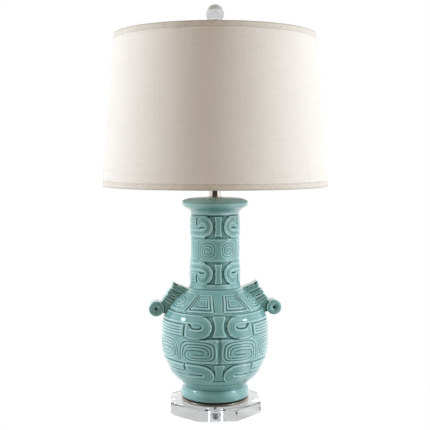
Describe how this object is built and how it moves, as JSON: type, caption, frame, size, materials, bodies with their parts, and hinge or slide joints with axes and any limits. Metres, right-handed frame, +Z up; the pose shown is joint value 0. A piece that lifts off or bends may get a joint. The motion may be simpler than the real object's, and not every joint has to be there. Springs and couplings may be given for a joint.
{
  "type": "table lamp",
  "caption": "Table lamp: a celadon-glazed long-necked jar with scroll handles on a nickel disc and clear octagonal base, under a tapered linen drum shade on a harp.",
  "frame": {"origin": "centre of the underside of the four bumper pads, on the lamp's axis", "axes": "+Z up along the lamp's axis; +X to the right towards one scroll handle; -Y is the front"},
  "size_m": [0.4063, 0.4064, 0.7368],
  "materials": {
    "pad_rubber": "soft, translucent white",
    "clear_acrylic": "clear, polished edges",
    "polished_nickel": "mirror polished",
    "dark_gasket": "matt black",
    "celadon_glaze": "thick glossy celadon, darker where it pools",
    "black_plastic": "moulded, semi-gloss",
    "zinc_steel": "bright zinc",
    "satin_nickel": "satin",
    "insulating_card": "pressed fibre",
    "contact_brass": "plain",
    "bulb_cap_metal": "plain",
    "frosted_glass": "frosted white",
    "shade_linen": "off-white linen on a stiff liner",
    "shade_tape": "self-coloured tape",
    "spider_wire": "off-white powder coat",
    "clear_crystal": "clear, polished"
  },
  "bodies": {
    "base": {"bumper_pads": "pad_rubber", "acrylic_base": "clear_acrylic", "nickel_disc": "polished_nickel", "foot_gasket": "dark_gasket", "jar_body": "celadon_glaze", "handle_right": "celadon_glaze", "handle_left": "celadon_glaze", "cord_bushing": "black_plastic", "lamp_rod": "zinc_steel", "base_washer": "zinc_steel", "base_nut": "zinc_steel", "neck_washer": "polished_nickel", "neck_tube": "polished_nickel", "harp_saddle": "satin_nickel", "lock_nut": "zinc_steel", "socket_cap": "satin_nickel", "set_screw": "zinc_steel", "socket_shell": "satin_nickel", "socket_liner": "insulating_card", "socket_core": "black_plastic", "screw_shell": "contact_brass", "centre_contact": "contact_brass", "terminal_screws": "contact_brass"},
    "switch": {"knob_spindle": "contact_brass", "turn_knob": "black_plastic"},
    "bulb": {"bulb_tip": "contact_brass", "bulb_cap": "bulb_cap_metal", "bulb_globe": "frosted_glass"},
    "harp": {"harp_wire": "satin_nickel", "harp_stud": "satin_nickel"},
    "sleeve_left": {"harp_sleeve_left": "satin_nickel"},
    "sleeve_right": {"harp_sleeve_right": "satin_nickel"},
    "shade": {"shade_panel": "shade_linen", "shade_top_trim": "shade_tape", "shade_bottom_trim": "shade_tape", "shade_spider": "spider_wire", "shade_bottom_ring": "spider_wire"},
    "finial": {"finial_base": "polished_nickel", "finial_ball": "clear_crystal"}
  },
  "joints": [
    {"name": "switch_turn", "type": "hinge", "parent": "base", "child": "switch", "pos_m": [0, 0, 0.4592], "axis": [0, -1, 0], "continuous": true},
    {"name": "bulb_unscrew", "type": "slide", "parent": "base", "child": "bulb", "axis": [0, 0, 1], "range_m": [0, 0.03]},
    {"name": "harp_lift", "type": "slide", "parent": "base", "child": "harp", "axis": [0, 0, 1], "range_m": [0, 0.03]},
    {"name": "sleeve_left_slide", "type": "slide", "parent": "harp", "child": "sleeve_left", "axis": [0, 0, 1], "range_m": [0, 0.014]},
    {"name": "sleeve_right_slide", "type": "slide", "parent": "harp", "child": "sleeve_right", "axis": [0, 0, 1], "range_m": [0, 0.014]},
    {"name": "shade_lift", "type": "slide", "parent": "harp", "child": "shade", "axis": [0, 0, 1], "range_m": [0, 0.28]},
    {"name": "finial_unscrew", "type": "slide", "parent": "shade", "child": "finial", "axis": [0, 0, 1], "range_m": [0, 0.03]}
  ]
}
